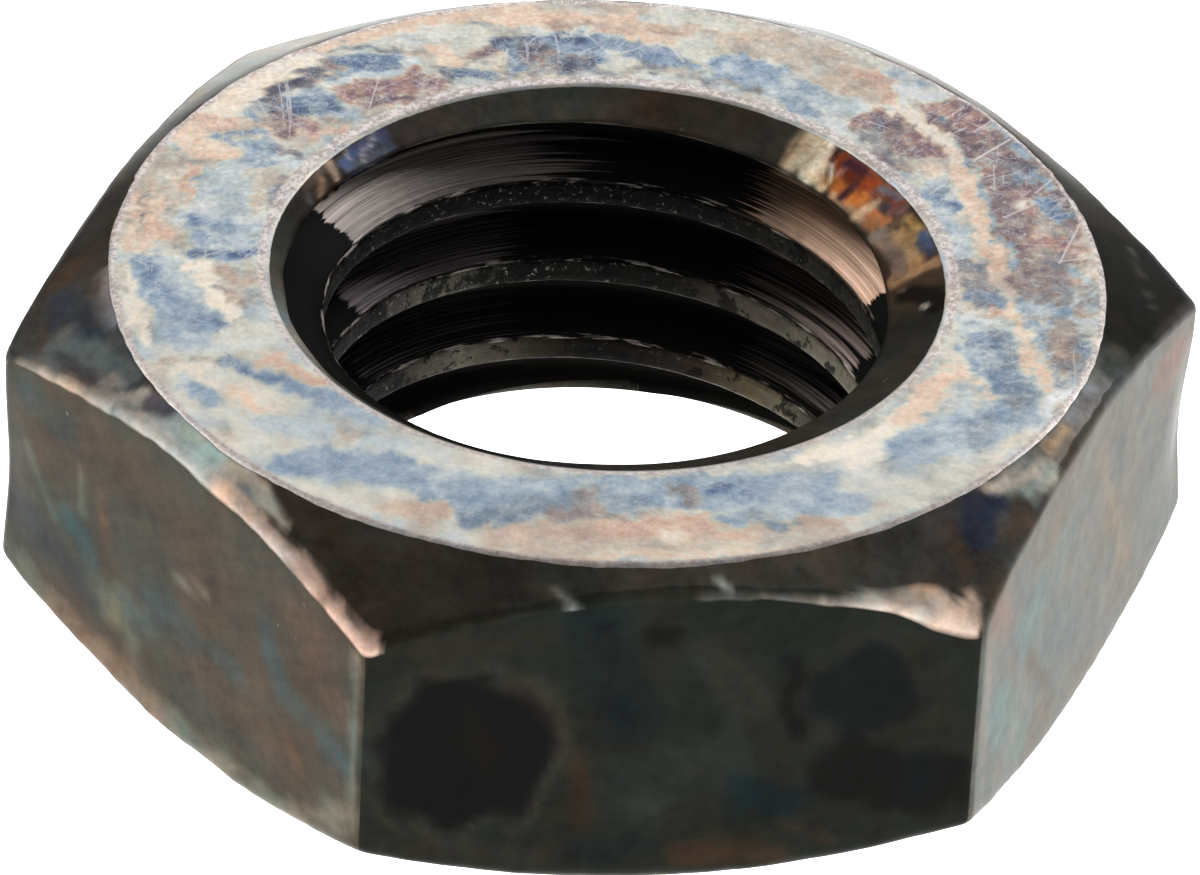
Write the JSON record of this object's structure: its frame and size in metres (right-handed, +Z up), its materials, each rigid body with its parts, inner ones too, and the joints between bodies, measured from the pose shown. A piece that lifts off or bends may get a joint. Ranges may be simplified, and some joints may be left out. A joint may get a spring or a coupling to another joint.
{
  "type": "sprocket nut",
  "caption": "Thin steel hexagon nut with chamfered ends and a countersunk threaded bore, blued by heat, for clamping a sprocket on its shaft.",
  "frame": {"origin": "centre of the bottom face, on the axis of the bore", "axes": "+Z up along the bore, +X through a corner of the hexagon, so the flats at the front and the back face -Y and +Y"},
  "size_m": [0.0218, 0.019, 0.0068],
  "materials": {
    "tempered_steel": "steel blued, browned and straw-tinted by heat on its faces, dark oxide on the chamfers, flats and thread"
  },
  "bodies": {
    "root": {"nut": "tempered_steel"}
  },
  "joints": []
}
